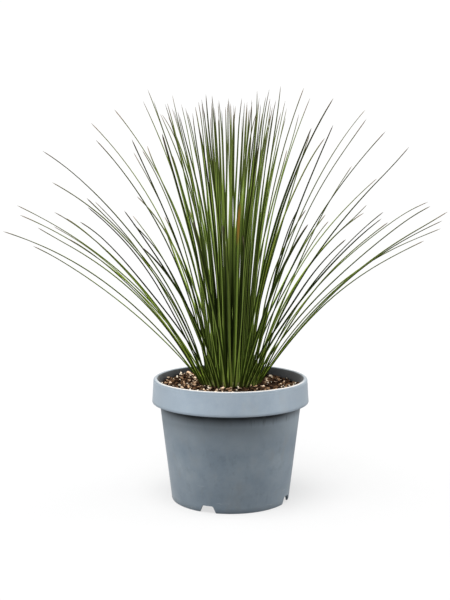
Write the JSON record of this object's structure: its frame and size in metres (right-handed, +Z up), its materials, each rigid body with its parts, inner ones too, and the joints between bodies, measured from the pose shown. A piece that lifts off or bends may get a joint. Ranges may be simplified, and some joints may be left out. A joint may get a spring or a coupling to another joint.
{
  "type": "potted mexican grass tree",
  "caption": "Mexican grass tree: a rosette of stiff, narrow, arching green leaves rising from a short crown in bark mix, in a round tapered plastic nursery pot with a collar.",
  "frame": {"origin": "middle of the pot's foot, on the surface that the pot stands on", "axes": "+Z up along the pot's axis, -Y towards the front, +X to the viewer's right, along the widest spread of the leaves"},
  "size_m": [0.6734, 0.6464, 0.6329],
  "materials": {
    "pot_plastic": "matte grey-blue polypropylene",
    "bark_mix": "coarse bark and pumice chips",
    "crown_base": "satin, fibrous",
    "leaf_outer": "satin, finely ribbed",
    "leaf_inner": "satin, finely ribbed"
  },
  "bodies": {
    "root": {"nursery_pot": "pot_plastic", "potting_mix": "bark_mix", "crown": "crown_base", "left_leaf_01": "leaf_outer", "left_leaf_02": "leaf_outer", "left_leaf_03": "leaf_outer", "left_leaf_04": "leaf_outer", "left_leaf_05": "leaf_outer", "left_leaf_06": "leaf_outer", "left_leaf_07": "leaf_outer", "left_leaf_08": "leaf_outer", "left_leaf_09": "leaf_outer", "left_leaf_10": "leaf_outer", "left_leaf_11": "leaf_outer", "left_leaf_12": "leaf_outer", "left_leaf_13": "leaf_outer", "right_leaf_01": "leaf_outer", "right_leaf_02": "leaf_outer", "right_leaf_03": "leaf_outer", "right_leaf_04": "leaf_outer", "right_leaf_05": "leaf_outer", "right_leaf_06": "leaf_outer", "right_leaf_07": "leaf_outer", "right_leaf_08": "leaf_outer", "right_leaf_09": "leaf_outer", "right_leaf_10": "leaf_outer", "right_leaf_11": "leaf_outer", "right_leaf_12": "leaf_outer", "right_leaf_13": "leaf_outer", "left_pair_01": "leaf_outer", "left_pair_02": "leaf_outer", "left_pair_03": "leaf_outer", "left_pair_04": "leaf_outer", "right_pair_01": "leaf_outer", "right_pair_02": "leaf_outer", "right_pair_03": "leaf_outer", "right_pair_04": "leaf_outer", "front_leaves_1": "leaf_outer", "front_leaves_2": "leaf_outer", "front_leaves_3": "leaf_outer", "front_leaves_4": "leaf_outer", "front_leaves_5": "leaf_outer", "back_leaves_1": "leaf_outer", "back_leaves_2": "leaf_outer", "back_leaves_3": "leaf_outer", "back_leaves_4": "leaf_outer", "back_leaves_5": "leaf_outer", "inner_leaves_e1": "leaf_inner", "inner_leaves_e2": "leaf_inner", "inner_leaves_e3": "leaf_inner", "inner_leaves_e4": "leaf_inner", "inner_leaves_e5": "leaf_inner", "inner_leaves_d1": "leaf_inner", "inner_leaves_d2": "leaf_inner", "inner_leaves_d3": "leaf_inner", "inner_leaves_d4": "leaf_inner", "inner_leaves_c1": "leaf_inner", "inner_leaves_c2": "leaf_inner", "inner_leaves_c3": "leaf_inner", "heart_leaves": "leaf_inner"}
  },
  "joints": []
}
